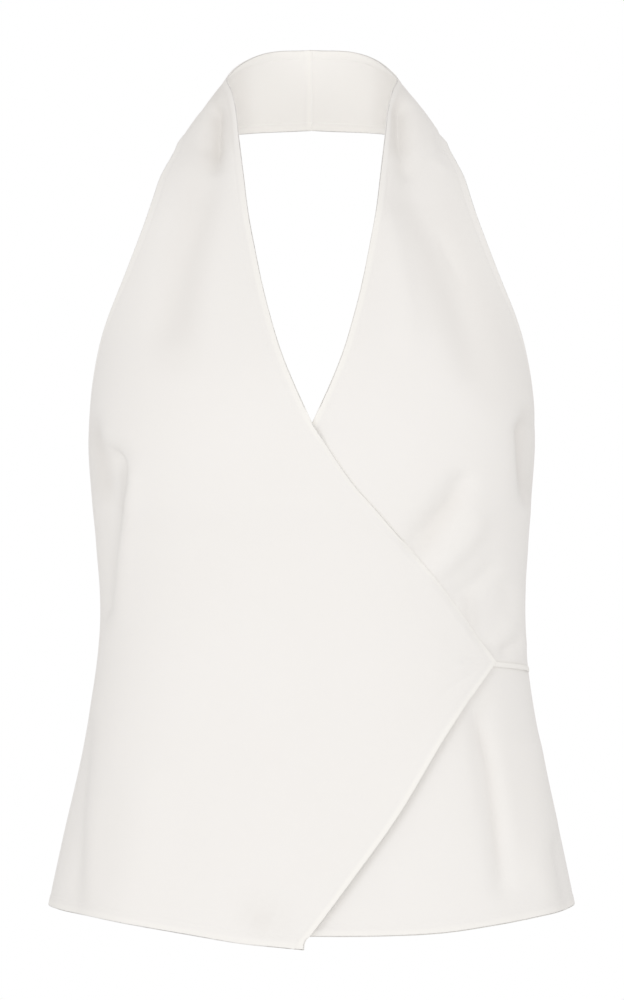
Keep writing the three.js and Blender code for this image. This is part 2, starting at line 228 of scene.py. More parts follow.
# Where the cloth steps back at an edge: seen along the path, it lies lower on the left of it.
# Low and high are how far each side moves, and each run is how far that reaches.
FRONT_STEPS = (
    dict(
        path=(
            (-154, 51), (-148, 43), (-139, 36), (-131, 26), (-129, 14),
            (-132, 0), (-137, -29), (-141, -58), (-147, -87),
        ),
        low=3, low_run=8, high=1.2, high_run=14, sharp=1.8,
    ),
)

# Painted shade: where folds lie deep or close together, and as a painted shadow beside the over
# front's skirt edge, the cloth's colour is darkened, up to 1. Soft is how gently that ends at its width: 2
# is soft and 6 is crisp.
FRONT_SHADES = (
    dict(path=((-70, 312), (-71, 246)), width=8, tone=0.6, soft=2),
    dict(path=((-61, 312), (-57, 258)), width=5, tone=0.42, soft=2),
    dict(path=((-82, 286), (-85, 250)), width=13, tone=0.26, soft=2),
    dict(path=((-79, 240), (-84, 205), (-90, 173), (-94, 140), (-96, 104)), width=17, tone=0.3, soft=3),
    dict(path=((66, 312), (65, 246)), width=8, tone=0.45, soft=2),
    dict(path=((60, 312), (57, 254)), width=5, tone=0.42, soft=2),
    dict(path=((77, 288), (79, 254)), width=12, tone=0.24, soft=2),
    dict(path=((55, 246), (60, 200)), width=13, tone=0.2, soft=2),
    dict(path=((83, 222), (98, 166), (116, 122), (132, 86)), width=25, tone=0.28, soft=4),
    dict(path=((-156, 56), (-154.5, 38), (-153.5, 20), (-152, 2)), width=6, tone=0.55, soft=2),
    dict(path=((154.5, 64), (155.5, 36), (156.5, 22), (158.5, 0)), width=6, tone=0.6, soft=2),
    dict(path=((-135, 22), (-135, -12)), width=6, tone=0.3, soft=3),
    dict(path=((105, 4), (92, -14), (78, -33)), width=6.5, tone=0.4, soft=2),
    dict(path=((111, -68), (114, -92)), width=6, tone=0.26, soft=3),
    dict(path=((119, -156), (127, -190), (132, -230), (135, -268)), width=3.4, tone=0.38, soft=2),
    dict(path=((-42, -292), (-28, -298)), width=12, tone=0.3, soft=2),
    # A painted shadow along the outside of the over front's skirt edge
    dict(path=((130, -121), (97.5, -166), (63, -223.5), (31, -268), (4, -304)), width=2.4, tone=0.5, soft=2),
)

# Folds die out this near to a side seam, and do so up to this far above its top
SEAM_CALM = 45
ABOVE_SEAM = 40

# The over front's stand-off: its skirt edge lifts, and it leaves the form between these turns
EDGE_LIFT = 1.5
EDGE_ROLL = 16
EDGE_RUN = 60
LEAVES_FORM = 84
CLEARS_UNDER = 58
COMES_BACK = 90

# The wrap edge rolls down onto the front below it
EDGE_REST = 2.05
EDGE_REST_RUN = 4.5
WRAP_END_RUN = 20

# The waist strap, from the waist corner to the side seam
STRAP_START = dict(across=130, up=-117.5)
STRAP_END = dict(turn=89.5, up=-126.5)
STRAP_TUCK = 4
STRAP_WIDTH = 3.8
STRAP_DEPTH = 1.2
STRAP_LIFT = 0.35
STRAP_PLY = 0.3
STRAP_SINKS = 0.6
# The strap's lighter tone: doubled cloth, partly a painted highlight
STRAP_TONE = 0.8

# The higher this is, the longer the back's edges stay level beside the side seams
BACK_ROUND = 1.5

# Pressed edges: how proud a turning lies outside and inside, and the line where it is caught down
TURNED_EDGE = dict(proud=0.18, full_to=0.55, line=0.17, line_width=1.3)
TURNED_INSIDE = dict(proud=0.25, before=0.3, after=0.5)
SEAM_DIP = dict(depth=0.55, width=2.2)

# The lighter tone of doubled cloth, partly a painted highlight along the turned edges: where it fades from
# an edge, and how strong it is there
EDGE_LIGHT = dict(start=3, end=5.5)
ARMHOLE_LIGHT = 0.6
HEM_LIGHT = 0.6
INSIDE_LIGHT = 0.5

# The pressed seam at the nape: a low ridge inside, on the over front's side
NAPE_RIDGE = dict(away=2.6, width=1.5, height=0.7)

# The lighter edge tone, partly a painted highlight, shows less along the neckline's edge by this
# share, from none of it at the first height to all at the second
CALM_EDGE = dict(start=200, end=250, less=0.75)

# The inside's painted light, which stands in for light through the cloth, and the painted shade
# where the neckband turns forward, from and to these distances across
INSIDE_TONE = 0.15
BAND_TURNS = dict(start=36, end=56, tone=0.45)

# How finely each piece is meshed
COLUMNS = 170
SKIRT_ROWS = 74
WRAP_ROWS = 60
NECK_ROWS = 110
BACK_COLUMNS = 170
BACK_ROWS = 110
STRAP_LENGTHS = 70
STRAP_ROUND = 20
RIM_STEPS = 5


# Curves through tables


def smooth_curve(places, values, at):
    """A smooth curve through values at rising places, read at an array of places."""
    places = np.asarray(places, float)
    values = np.asarray(values, float)
    at = np.asarray(at, float)
    last = len(places) - 1
    before = np.maximum(np.arange(last + 1) - 1, 0)
    after = np.minimum(np.arange(last + 1) + 1, last)
    slopes = (values[after] - values[before]) / (places[after] - places[before])
    i = np.clip(np.searchsorted(places, at, side="left") - 1, 0, last - 1)
    span = places[i + 1] - places[i]
    t = np.clip((at - places[i]) / span, 0, 1)
    return (
        (2 * t**3 - 3 * t**2 + 1) * values[i]
        + (t**3 - 2 * t**2 + t) * slopes[i] * span
        + (3 * t**2 - 2 * t**3) * values[i + 1]
        + (t**3 - t**2) * slopes[i + 1] * span
    )


def column_of(rows, name):
    """One named column of a table."""
    return [row[name] for row in rows]


def form_size(name, height):
    """One size of the form's ring at each height."""
    return smooth_curve(column_of(FORM, "height"), column_of(FORM, name), height)


def along(rows, name, share):
    """A table's column at a share of the way along its evenly counted rows."""
    values = column_of(rows, name)
    return smooth_curve(np.arange(len(values)), values, np.asarray(share) * (len(values) - 1))


def ramp(value, low, high):
    """0 below low, 1 above high and smooth between them."""
    t = np.clip((value - low) / (high - low), 0, 1)
    return t * t * (3 - 2 * t)


def blend(a, b, share):
    """From a to b by share."""
    return a + (b - a) * share


def crowded(count, ends=0.5):
    """Shares from 0 to 1 that lie closer together at both ends, the more so the higher ends is."""
    t = np.linspace(0, 1, count + 1)
    return blend(t, (1 - np.cos(np.pi * t)) / 2, ends)


# The form


def form_point(turn, height):
    """The form's points at turns from the centre front, in radians, and heights."""
    power = form_size("square", height)
    depth = np.where(np.cos(turn) > 0, form_size("front", height), form_size("back", height))
    sideways = np.abs(np.sin(turn)) / form_size("half_width", height)
    depthways = np.abs(np.cos(turn)) / depth
    reach = (sideways**power + depthways**power) ** (-1 / power)
    return np.stack([reach * np.sin(turn), -reach * np.cos(turn), height + 0 * turn], axis=-1)


def unit(vectors):
    """Vectors made one long."""
    return vectors / np.linalg.norm(vectors, axis=-1, keepdims=True)


def form_normal(turn, height):
    """The form's outward directions, from points a small turn and height to each side."""
    aside, above = 1e-3, 1.0
    round_it = form_point(turn + aside, height) - form_point(turn - aside, height)
    up_it = form_point(turn, height + above) - form_point(turn, height - above)
    return unit(np.cross(round_it, up_it))


def turn_across(across, height):
    """The turns at which the form's front lies the given distances across."""
    power = form_size("square", height)
    share = np.clip(np.abs(across) / form_size("half_width", height), 0, 1)
    return np.arctan2(across, form_size("front", height) * (1 - share**power) ** (1 / power))


def placed(points):
    """Laid out points in the row's frame, in metres."""
    nape = form_point(np.array(np.pi), np.array(NAPE_HEIGHT))
    return (points - nape) * MM


# Folds


def beside_path(points, path):
    """How far points are from a path seen from in front, on its right above 0, and how far along."""
    path = np.asarray(path, float)
    x, z = points[..., 0], points[..., 2]
    nearest = np.full(x.shape, np.inf)
    aside = np.zeros(x.shape)
    passed = np.zeros(x.shape)
    lengths = np.linalg.norm(np.diff(path, axis=0), axis=1)
    starts = np.concatenate([[0], np.cumsum(lengths)])
    for (x0, z0), (x1, z1), length, start in zip(path[:-1], path[1:], lengths, starts):
        share = np.clip(((x - x0) * (x1 - x0) + (z - z0) * (z1 - z0)) / length**2, 0, 1)
        away = np.hypot(x - blend(x0, x1, share), z - blend(z0, z1, share))
        right = np.sign((x1 - x0) * (z0 - z) + (z1 - z0) * (x - x0))
        closer = away < nearest
        nearest = np.where(closer, away, nearest)
        aside = np.where(closer, -right * away, aside)
        passed = np.where(closer, start + share * length, passed)
    return aside, passed / starts[-1]


def fold_shape(points, fold):
    """How much one fold moves points out."""
    aside, _ = beside_path(points, fold["path"])
    return fold["height"] * np.exp(-((aside / fold["width"]) ** 2))


def crease_shape(points, crease):
    """How much one crease moves points out: as a fold, and less towards its ends."""
    aside, passed = beside_path(points, crease["path"])
    taper = ramp(passed, -0.05, 0.3) * (1 - ramp(passed, 0.7, 1.05))
    return crease["height"] * taper * np.exp(-((aside / crease["width"]) ** 2))


def step_shape(points, step):
    """How much one step moves points out, on its two sides."""
    aside, passed = beside_path(points, step["path"])
    taper = ramp(passed, 0, 0.25) * (1 - ramp(passed, 0.55, 1))
    on_high = (1 + np.tanh(aside / step["sharp"])) / 2
    high = step["high"] * np.exp(-np.abs(aside) / step["high_run"])
    low = -step["low"] * np.exp(-((aside / step["low_run"]) ** 2))
    return taper * blend(low, high, on_high)


def painted_fold_shade(points):
    """How much painted shade darkens the fronts' folds, and the painted shadow beside the over front's skirt
    edge, from 0 to 1.
    """
    deep = 0
    for mark in FRONT_SHADES:
        aside, passed = beside_path(points, mark["path"])
        taper = ramp(passed, -0.2, 0.2) * (1 - ramp(passed, 0.8, 1.2))
        deep = deep + mark["tone"] * taper * np.exp(-np.abs(aside / mark["width"]) ** mark["soft"])
    return np.clip(deep, 0, 1)


def calm_share(points):
    """How strong folds are at each point: none at the side seams, whole away from them."""
    above_seam = ramp(points[..., 2], SIDE_SEAM_TOP, SIDE_SEAM_TOP + ABOVE_SEAM)
    return blend(ramp(np.abs(points[..., 1]), 0, SEAM_CALM), 1, above_seam)


def folded(points, folds):
    """How much a table of folds moves points out, calm beside the side seams."""
    return calm_share(points) * sum(fold_shape(points, fold) for fold in folds)


def creased(points):
    """How much the fronts' creases and steps move points out."""
    moves = [crease_shape(points, crease) for crease in FRONT_CREASES]
    moves += [step_shape(points, step) for step in FRONT_STEPS]
    return calm_share(points) * sum(moves)


def drift(turn, height):
    """The small uneven waves of cloth that hangs, a little over half a millimetre high."""
    across = turn * 120
    long_waves = np.sin(across / 21 + 1.4 * np.sin(height / 83)) * np.sin(height / 140 + across / 300)
    cross_waves = np.sin(height / 27 + across / 51 + 1.1 * np.sin(across / 64))
    return 0.45 * long_waves + 0.2 * cross_waves


# Cloth


def run_along(points, axis):
    """The distance along a grid's lines from their first point."""
    step = np.linalg.norm(np.diff(points, axis=axis), axis=-1)
    start = np.zeros_like(np.take(step, [0], axis=axis))
    return np.concatenate([start, np.cumsum(step, axis=axis)], axis=axis)


def distances(points):
    """How far each grid point is from the first and last row and the first and last column."""
    up = run_along(points, 0)
    aside = run_along(points, 1)
    return dict(foot=up, head=up[-1:] - up, first=aside, last=aside[:, -1:] - aside)


def turned_edge(distance, width):
    """A pressed edge: full over its turning, with a shallow line where that is caught down."""
    full = TURNED_EDGE["proud"] * (1 - ramp(distance, width * TURNED_EDGE["full_to"], width))
    line = TURNED_EDGE["line"] * np.exp(-(((distance - width) / TURNED_EDGE["line_width"]) ** 2))
    return full - line


def turned_inside(distance, width):
    """How far a turning stands proud on the inside of the cloth."""
    start, end = width - TURNED_INSIDE["before"], width + TURNED_INSIDE["after"]
    return TURNED_INSIDE["proud"] * (1 - ramp(distance, start, end))


def nape_shape(distance):
    """The ridge of the pressed seam at the nape, from 0 to 1."""
    return np.exp(-(((distance - NAPE_RIDGE["away"]) / NAPE_RIDGE["width"]) ** 4))


def seam_dip(distance):
    """Cloth sinks into a seam."""
    return -SEAM_DIP["depth"] * np.exp(-((distance / SEAM_DIP["width"]) ** 2))


def grid_normals(points, outward):
    """A grid's normals, on the side that outward gives."""
    normal = unit(np.cross(np.gradient(points, axis=1), np.gradient(points, axis=0)))
    return normal * np.sign(np.sum(normal * outward, axis=-1, keepdims=True))


def rim_loop(rows, columns):
    """The grid places round the edge of a grid, in order."""
    foot = [(0, c) for c in range(columns)]
    last = [(r, columns - 1) for r in range(1, rows)]
    head = [(rows - 1, c) for c in range(columns - 2, -1, -1)]
    first = [(r, 0) for r in range(rows - 2, 0, -1)]
    return np.array(foot + last + head + first)


def cloth_object_mesh(name, vertices, faces, lays, tone):
    """A smooth mesh in the row's frame, which keeps how each point lies on the flat cloth.

    Its tone is 0 for the plain cloth, up to 1 where that is lighter, as doubled cloth and painted light are,
    and down to -1 where painted shade darkens it.
    """
    mesh = bpy.data.meshes.new(name)
    mesh.from_pydata(placed(vertices), [], faces)
    mesh.polygons.foreach_set("use_smooth", np.ones(len(faces), bool))
    uv = mesh.uv_layers.new(name="cloth")
    uv.data.foreach_set("uv", (lays[faces.reshape(-1)] * MM).reshape(-1))
    attribute = mesh.attributes.new("tone_and_painted_light", "FLOAT", "POINT")
    attribute.data.foreach_set("value", tone)
    mesh.update()
    return mesh


def cloth_mesh(name, outer, inner, normal, tone, inside_tone):
    """A mesh of one thickness of cloth with rounded edges, from its outer and inner face."""
    rows, columns = outer.shape[:2]
    middle = (outer + inner) / 2
    loop = rim_loop(rows, columns)
    r, c = loop[:, 0], loop[:, 1]
    tangent = unit(np.roll(middle[r, c], -1, axis=0) - np.roll(middle[r, c], 1, axis=0))
    out = unit(np.cross(tangent, normal[r, c]))
    inside = middle[np.clip(r, 1, rows - 2), np.clip(c, 1, columns - 2)]
    out *= np.sign(np.sum(out * (middle[r, c] - inside), axis=-1, keepdims=True))
    half = (outer[r, c] - inner[r, c]) / 2
    bulge = out * np.linalg.norm(half, axis=-1, keepdims=True)
    outer = outer.copy()
    inner = inner.copy()
    outer[r, c] -= bulge
    inner[r, c] -= bulge
    centre = (outer[r, c] + inner[r, c]) / 2
    angles = np.linspace(0, np.pi, RIM_STEPS + 2)[1:-1]
    rims = [centre + half * math.cos(a) + bulge * math.sin(a) for a in angles]

    count = rows * columns
    number = np.arange(count).reshape(rows, columns)
    quads = np.stack([number[:-1, :-1], number[:-1, 1:], number[1:, 1:], number[1:, :-1]], axis=-1)
    quads = quads.reshape(-1, 4)
    rings = [number[r, c]]
    rings += [2 * count + k * len(loop) + np.arange(len(loop)) for k in range(len(rims))]
    rings += [count + number[r, c]]
    faces = [quads, count + quads[:, ::-1]]
    for upper, lower in zip(rings[:-1], rings[1:]):
        faces.append(np.stack([np.roll(upper, -1), upper, lower, np.roll(lower, -1)], axis=-1))
    faces = np.concatenate(faces)
    vertices = np.concatenate([outer.reshape(-1, 3), inner.reshape(-1, 3), *rims])

    across_way = np.cross(outer[1, 1] - outer[0, 1], outer[1, 2] - outer[1, 1])
    if np.dot(across_way, normal[1, 1]) > 0:
        faces = faces[:, ::-1]
    lay = np.stack([run_along(middle, 1), run_along(middle, 0)], axis=-1)
    flat = lay.reshape(-1, 2)
    lays = np.concatenate([flat, flat] + [lay[r, c]] * len(rims))
    tones = np.concatenate([tone.reshape(-1), inside_tone.reshape(-1)] + [tone[r, c]] * len(rims))
    return cloth_object_mesh(name, vertices, faces, lays, np.clip(tones, -1, 1))


def finished_piece(name, mesh, material, node):
    """A mesh as a piece that stands for a solid of the same name."""
    mesh.materials.append(material)
    piece = bpy.data.objects.new(name, mesh)
    bpy.context.scene.collection.objects.link(piece)
    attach(piece, BODY)
    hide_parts(node)
    return piece


def laid_cloth(points, normal, thickness, relief, turnings):
    """The outer and inner face of cloth whose outer face lies a wall outside points."""
    outer = points + normal * (WALL + relief)[..., None]
    inner = outer - normal * (thickness + relief + turnings)[..., None]
    return outer, inner


def edge_light(distance):
    """How much a turned edge shows the lighter tone of doubled cloth, partly a painted highlight."""
    return 1 - ramp(distance, EDGE_LIGHT["start"], EDGE_LIGHT["end"])


# The fronts


def half_gap(radius):
    """Half the seam gap as a turn."""
    return SEAM_GAP / 2 / radius


def front_rows(skirt_edge, corner_hem):
    """A front's sections, hem first: the turn and height of the outer and the inner edge of each."""
    up, across = [], []
    for edge, shares in (
        (skirt_edge, crowded(SKIRT_ROWS, 0.8)[:-1]),
        (WRAP_EDGE, crowded(WRAP_ROWS, 0.4)[:-1]),
    ):
        up.append(along(edge, "up", shares))
        across.append(along(edge, "across", shares))
    up = np.concatenate(up)
    across = np.concatenate(across)
    side = np.where(up < 0, up * SIDE_HEM / corner_hem, up * SIDE_SEAM_TOP / NECKLINE_POINT)
    in_hem = np.clip((up - WAIST_CORNER) / (corner_hem - WAIST_CORNER), 0, 1)
    outer_turn = np.pi / 2 - half_gap(form_size("half_width", side))

    shares = crowded(NECK_ROWS, 0.3)
    at = {name: along(NECK_SECTIONS, name, shares) for name in NECK_SECTIONS[0]}
    turns = [
        dict(
            arm=math.atan2(row["arm_across"], -row["arm_back"]),
            neck=math.atan2(row["neck_across"], -row["neck_back"]),
        )
        for row in NECK_SECTIONS
    ]
    arm_turn = np.minimum(along(turns, "arm", shares), np.pi - half_gap(at["arm_back"][-1]))
    neck_turn = np.minimum(along(turns, "neck", shares), np.pi - half_gap(at["neck_back"][-1]))
    return dict(
        outer_turn=np.concatenate([outer_turn, arm_turn])[:, None],
        outer_up=np.concatenate([side, at["arm_up"]])[:, None],
        inner_turn=np.concatenate([-turn_across(across, up), neck_turn])[:, None],
        inner_up=np.concatenate([up, at["neck_up"]])[:, None],
        in_hem=np.concatenate([in_hem, np.zeros(len(shares))])[:, None],
    )


def stand_off(turn, height, to_edge):
    """How far the over front lies outside the form, where turn is from its own side's seam."""
    from_seam = 1 - ramp(turn, math.radians(CLEARS_UNDER), math.radians(LEAVES_FORM))
    below_neck = 1 - ramp(height, NECKLINE_POINT, NECKLINE_POINT + COMES_BACK)
    roll = EDGE_LIFT * np.exp(-((to_edge / EDGE_ROLL) ** 2))
    in_skirt = ramp(-height, -WAIST_CORNER, -WAIST_CORNER + EDGE_RUN)
    above_corner = ramp(height, WAIST_CORNER, WAIST_CORNER + WRAP_END_RUN)
    in_wrap = above_corner * (1 - ramp(height, NECKLINE_POINT - WRAP_END_RUN, NECKLINE_POINT))
    rest = EDGE_REST * np.exp(-((to_edge / EDGE_REST_RUN) ** 2))
    return (WALL + LAYER_GAP) * from_seam * below_neck + roll * in_skirt - rest * in_wrap


def front_mesh(name, over, settings):
    """One front, laid out on the wearer's left and mirrored for the over front."""
    corner_hem = OVER_CORNER_HEM if over else UNDER_CORNER_HEM
    rows = front_rows(OVER_SKIRT_EDGE if over else UNDER_SKIRT_EDGE, corner_hem)
    share = crowded(COLUMNS)[None, :]
    turn = blend(rows["outer_turn"], rows["inner_turn"], share)
    falls = column_of(HEM_FALL, "over" if over else "under")
    fall = smooth_curve(column_of(HEM_FALL, "share"), falls, share)
    height = blend(rows["outer_up"], rows["inner_up"], blend(share, fall, rows["in_hem"]))
    to_edge = (turn - rows["inner_turn"]) * form_size("half_width", height)
    side = -1 if over else 1
    base = form_point(side * turn, height)
    out = form_normal(side * turn, height)
    small = creased(base) + drift(side * turn, height)
    if over:
        small = small + sum(crease_shape(base, pucker) for pucker in OVER_PUCKERS)
    move = folded(base, FRONT_FOLDS) + settings.crease * small
    if over:
        move = move + stand_off(turn, height, to_edge)
    points = base + out * move[..., None]

    away = distances(points)
    edge = settings.edge_turning / MM
    hem = settings.hem_turning / MM
    armhole = ramp(height[:, :1], SIDE_SEAM_TOP - 2, SIDE_SEAM_TOP + 2)
    relief = turned_edge(away["last"], edge) + turned_edge(away["foot"], hem)
    relief += blend(seam_dip(away["first"]), turned_edge(away["first"], edge), armhole)
    relief += seam_dip(away["head"])
    armhole_turning = armhole * turned_inside(away["first"], edge)
    nape_ridge = nape_shape(away["head"]) if over else 0
    turnings = turned_inside(away["foot"], hem) + turned_inside(away["last"], edge)
    turnings += armhole_turning + NAPE_RIDGE["height"] * nape_ridge
    # The lighter tone of doubled cloth along the edges, partly a painted highlight, less near the neck; the
    # painted fold shade is taken off it
    below_neck = 1 - CALM_EDGE["less"] * ramp(height, CALM_EDGE["start"], CALM_EDGE["end"])
    light = below_neck * edge_light(away["last"])
    light = light + armhole * ARMHOLE_LIGHT * edge_light(away["first"])
    light = light + HEM_LIGHT * edge_light(away["foot"])
    tone = np.clip(light, 0, 1) - painted_fold_shade(base)
    # Inside: painted light for light through the cloth, lighter at the turnings, a painted highlight on the
    # nape ridge, and painted shade where the neckband turns forward
    band_end = ramp(np.abs(points[..., 0]), BAND_TURNS["start"], BAND_TURNS["end"])
    inside_tone = INSIDE_TONE + INSIDE_LIGHT * edge_light(away["first"])
    inside_tone = inside_tone + INSIDE_LIGHT * edge_light(away["last"])
    inside_tone = inside_tone + nape_ridge - BAND_TURNS["tone"] * band_end
    normal = grid_normals(points, out)
    outer, inner = laid_cloth(points, normal, settings.thickness / MM, relief, turnings)
    return cloth_mesh(name, outer, inner, normal, tone, inside_tone)


# The back panel


def back_mesh(name, settings):
    """The low back, from side seam to side seam."""
    share = crowded(BACK_COLUMNS)[None, :]
    rise = crowded(BACK_ROWS, 0.8)[:, None]
    middle = np.sin(np.pi * share) ** BACK_ROUND
    height = blend(blend(SIDE_HEM, BACK_HEM, middle), blend(SIDE_SEAM_TOP, BACK_TOP, middle), rise)
    gap = half_gap(form_size("half_width", height))
    turn = blend(np.pi / 2 + gap, 3 * np.pi / 2 - gap, share)
    base = form_point(turn, height)
    out = form_normal(turn, height)
    move = folded(base, BACK_FOLDS) + settings.crease * drift(turn, height)
    points = base + out * move[..., None]

    away = distances(points)
    edge = settings.edge_turning / MM
    hem = settings.hem_turning / MM
    relief = turned_edge(away["head"], edge) + turned_edge(away["foot"], hem)
    relief += seam_dip(away["first"]) + seam_dip(away["last"])
    turnings = turned_inside(away["foot"], hem) + turned_inside(away["head"], edge)
    normal = grid_normals(points, out)
    outer, inner = laid_cloth(points, normal, settings.thickness / MM, relief, turnings)
    # The top edge's lighter tone of doubled cloth, partly a painted highlight, which also lightens the
    # inside
    light = edge_light(away["head"])
    return cloth_mesh(name, outer, inner, normal, light, INSIDE_TONE + light)


# The waist strap


def strap_mesh(name):
    """A narrow strap: a tube of turned cloth pressed flat, from the waist corner to the seam."""
    tucked = float(STRAP_START["across"] - STRAP_TUCK)
    start = turn_across(np.array(tucked), np.array(STRAP_START["up"]))
    share = np.linspace(0, 1, STRAP_LENGTHS + 1)[:, None]
    angle = np.linspace(0, 2 * np.pi, STRAP_ROUND, endpoint=False)[None, :]
    turn = blend(start, math.radians(STRAP_END["turn"]), share) + 0 * angle
    middle_up = blend(STRAP_START["up"], STRAP_END["up"], share)
    skins = []
    for inset in (0, STRAP_PLY):
        height = middle_up + (STRAP_WIDTH / 2 - inset) * np.sin(angle)
        base = form_point(turn, height)
        out = form_normal(turn, height)
        flattened = np.sign(np.cos(angle)) * np.abs(np.cos(angle)) ** 0.6
        swell = (STRAP_DEPTH / 2 - inset) * flattened
        into_seam = ramp(share, STRAP_SINKS, 1)
        stand = (STRAP_LIFT + STRAP_DEPTH / 2) * (1 - into_seam) - STRAP_DEPTH * into_seam
        move = folded(base, FRONT_FOLDS) + WALL + stand + swell * (1 - 0.5 * into_seam)
        skins.append(base + out * move[..., None])
    rows, around = skins[0].shape[:2]
    number = np.arange(rows * around).reshape(rows, around)
    beside = np.roll(number, -1, axis=1)
    outside = np.stack([number[:-1], beside[:-1], beside[1:], number[1:]], axis=-1).reshape(-1, 4)
    inside = rows * around + outside[:, ::-1]
    first, last = number[0], number[-1]
    start_rim = np.stack([first, rows * around + first, rows * around + beside[0], beside[0]], axis=-1)
    end_rim = np.stack([last, beside[-1], rows * around + beside[-1], rows * around + last], axis=-1)
    faces = np.concatenate([outside, inside, start_rim, end_rim])
    vertices = np.concatenate([skin.reshape(-1, 3) for skin in skins])
    lays = [np.stack([run_along(skin, 0), run_along(skin, 1)], axis=-1).reshape(-1, 2) for skin in skins]
    # The whole strap takes the lighter tone of doubled cloth, partly a painted highlight
    tone = np.full(len(vertices), STRAP_TONE)
    return cloth_object_mesh(name, vertices, faces, np.concatenate(lays), tone)


# Materials


def node(tree, kind, inputs=(), **settings):
    """A shader node with its settings made and its named inputs set or linked."""
    made = tree.nodes.new(kind)
    for name, value in settings.items():
        setattr(made, name, value)
    for name, value in dict(inputs).items():
        if isinstance(value, bpy.types.NodeSocket):
            tree.links.new(value, made.inputs[name])
        else:
            made.inputs[name].default_value = value
    return made


def cloth_material(settings):
    """Fine plain weave in off-white: crossing threads, slubs, a slight unevenness of tone, and the painted
    light and painted shade that the mesh's tone carries.
    """
    material = bpy.data.materials.new("off_white_cloth")
    material.use_nodes = True
    tree = material.node_tree
    tree.nodes.clear()
    lay = node(tree, "ShaderNodeUVMap", uv_map="cloth").outputs["UV"]
    wave_scale = math.pi / 10 / settings.thread
    warp = node(
        tree,
        "ShaderNodeTexWave",
        {"Vector": lay, "Scale": wave_scale, "Distortion": 0.6, "Detail Scale": 0.4},
        bands_direction="X",
    )
    weft = node(
        tree,
        "ShaderNodeTexWave",
        {"Vector": lay, "Scale": wave_scale, "Distortion": 0.6, "Detail Scale": 0.4},
        bands_direction="Y",
    )
    check = node(tree, "ShaderNodeTexChecker", {"Vector": lay, "Scale": 1 / settings.thread})
    weave = node(
        tree,
        "ShaderNodeMix",
        {"Factor": check.outputs["Fac"], "A": warp.outputs["Fac"], "B": weft.outputs["Fac"]},
    )
    along_threads = node(tree, "ShaderNodeMapping", {"Vector": lay, "Scale": (60, 900, 1)})
    across_threads = node(tree, "ShaderNodeMapping", {"Vector": lay, "Scale": (900, 60, 1)})
    slub_a, slub_b = (
        node(tree, "ShaderNodeTexNoise", {"Vector": threads.outputs[0], "Scale": 1, "Detail": 2})
        for threads in (along_threads, across_threads)
    )
    slubs = node(
        tree, "ShaderNodeMath", {0: slub_a.outputs["Fac"], 1: slub_b.outputs["Fac"]}, operation="ADD"
    )
    place = node(tree, "ShaderNodeTexCoord").outputs["Object"]
    tone = node(tree, "ShaderNodeTexNoise", {"Vector": place, "Scale": 9, "Detail": 3, "Roughness": 0.55})
    colour = node(
        tree,
        "ShaderNodeMix",
        {
            "Factor": tone.outputs["Fac"],
            "A": (*settings.colour, 1),
            "B": (*settings.colour_deep, 1),
        },
        data_type="RGBA",
    )
    # The mesh's tone mixes in the lighter colour, for doubled cloth and painted light, and the fold colour,
    # which is painted shade
    tone_and_painted_light = node(tree, "ShaderNodeAttribute", attribute_name="tone_and_painted_light").outputs["Fac"]
    painted_shade = node(tree, "ShaderNodeMath", {0: tone_and_painted_light, 1: -1.0}, operation="MULTIPLY").outputs[0]
    for factor, other in ((tone_and_painted_light, settings.colour_light), (painted_shade, settings.colour_fold_shade)):
        colour = node(
            tree,
            "ShaderNodeMix",
            {"Factor": factor, "A": colour.outputs["Result"], "B": (*other, 1)},
            data_type="RGBA",
        )
    rough = node(
        tree,
        "ShaderNodeMapRange",
        {"Value": tone.outputs["Fac"], "To Min": 0.68, "To Max": 0.82},
    )
    fine = node(
        tree,
        "ShaderNodeBump",
        {"Height": weave.outputs["Result"], "Strength": 0.22, "Distance": 0.00012},
    )
    uneven = node(
        tree,
        "ShaderNodeBump",
        {"Height": slubs.outputs[0], "Strength": 0.16, "Distance": 0.0002, "Normal": fine.outputs[0]},
    )
    shader = node(
        tree,
        "ShaderNodeBsdfPrincipled",
        {
            "Base Color": colour.outputs["Result"],
            "Roughness": rough.outputs["Result"],
            "Normal": uneven.outputs[0],
            "IOR": 1.45,
            "Sheen Weight": settings.sheen,
            "Sheen Roughness": 0.5,
        },
    )
    node(tree, "ShaderNodeOutputMaterial", {"Surface": shader.outputs[0]})
    return material


def shared_cloth(settings):
    """The one cloth material that all the pieces wear."""
    return bpy.data.materials.get("off_white_cloth") or cloth_material(settings)


# The stage


def plain_material(name, colour, roughness):
    """A plain surface for the stage."""
    material = bpy.data.materials.new(name)
    material.use_nodes = True
    shader = material.node_tree.nodes["Principled BSDF"]
    shader.inputs["Base Color"].default_value = (*colour, 1)
    shader.inputs["Roughness"].default_value = roughness
    return material


def add_floor(settings):
    """A pale round floor, well below the hem."""
    bpy.ops.mesh.primitive_circle_add(
        vertices=96, radius=settings.floor_radius, fill_type="NGON", location=(0, 0, -settings.floor_drop)
    )
    floor = bpy.context.active_object
    floor.name = "floor"
    floor.data.materials.append(plain_material("floor_white", settings.floor_colour, 0.9))


def add_soft_light(name, place, aim, size, power):
    """A square soft light, which the camera doesn't see."""
    light = bpy.data.lights.new(name, "AREA")
    light.size = size
    light.energy = power
    lamp = bpy.data.objects.new(name, light)
    lamp.location = place
    lamp.visible_camera = False
    lamp.rotation_euler = (Vector(aim) - Vector(place)).to_track_quat("-Z", "Y").to_euler()
    bpy.context.scene.collection.objects.link(lamp)


